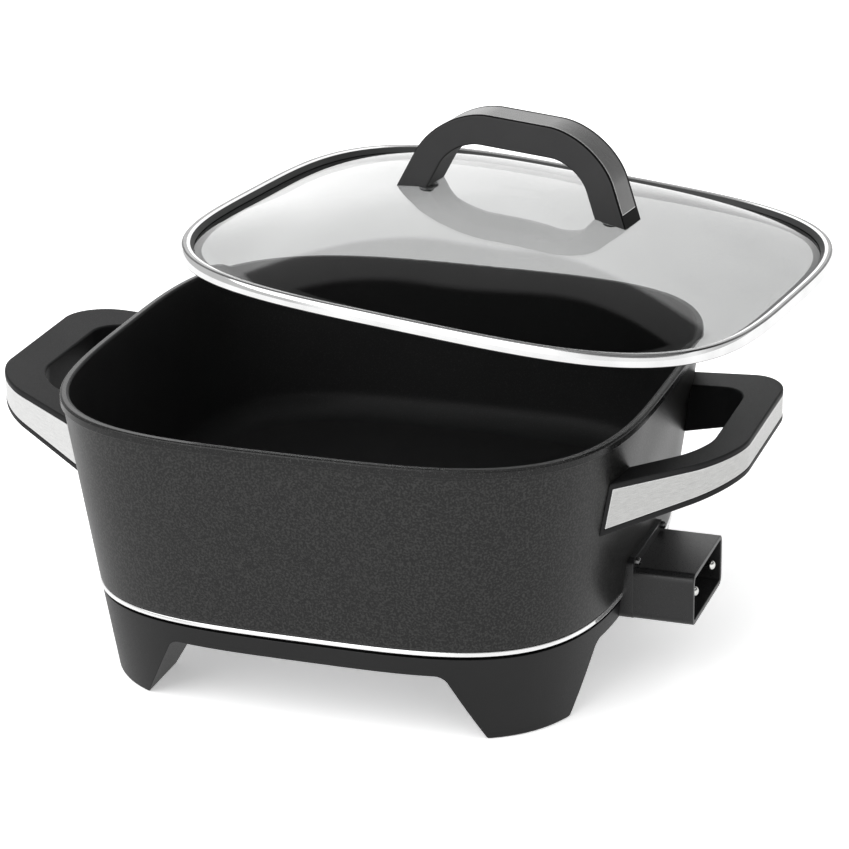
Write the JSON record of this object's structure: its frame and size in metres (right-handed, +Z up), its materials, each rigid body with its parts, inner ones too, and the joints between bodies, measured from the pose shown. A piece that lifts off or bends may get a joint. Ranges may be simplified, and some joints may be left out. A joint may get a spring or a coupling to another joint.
{
  "type": "electric skillet",
  "caption": "Deep square electric skillet on a skirted base with legs, with loop handles, a socket for a plug-in heat control and a loose domed glass lid, shown lifted off.",
  "frame": {"origin": "on the table, under the middle of the pan, in the plane of the four feet", "axes": "+X from the left handle to the right handle and the socket, -Y towards the front, +Z up"},
  "size_m": [0.3619, 0.3318, 0.2384],
  "materials": {
    "pan_coating": "charcoal non-stick coating with a fine speckle, semi-matt",
    "element_sheath": "dull oxidised sheath",
    "pin_metal": "plated",
    "ceramic": "unglazed ceramic",
    "bare_casting": "as cast",
    "base_plastic": "satin moulded black",
    "handle_plastic": "fine-grained moulded black",
    "screw_steel": "zinc plated",
    "bright_trim": "polished",
    "brushed_band": "brushed lengthways",
    "lid_glass": "clear, very slightly grey",
    "polished_band": "polished stainless",
    "seal_rubber": "matt"
  },
  "bodies": {
    "skillet": {"pan": "pan_coating", "heating_element": "element_sheath", "terminal_pins": "pin_metal", "terminal_collars": "ceramic", "probe_guide": "bare_casting", "socket_shroud": "base_plastic", "socket_screws": "screw_steel", "base_frame": "base_plastic", "trim_ring": "bright_trim", "base_screws": "screw_steel", "left_handle": "handle_plastic", "right_handle": "handle_plastic", "left_handle_band": "brushed_band", "right_handle_band": "brushed_band", "left_handle_screws": "screw_steel", "right_handle_screws": "screw_steel"},
    "lid": {"lid_glass": "lid_glass", "lid_band": "polished_band", "lid_handle": "handle_plastic", "lid_handle_strip": "brushed_band", "lid_handle_screws": "screw_steel", "lid_handle_washers": "seal_rubber"}
  },
  "joints": [
    {"name": "lid_lift", "type": "hinge", "parent": "skillet", "child": "lid", "pos_m": [0.532, -0.104, -0.262], "axis": [-0.3539, 0.6727, -0.6498], "range_deg": [-6.7, 30]}
  ]
}
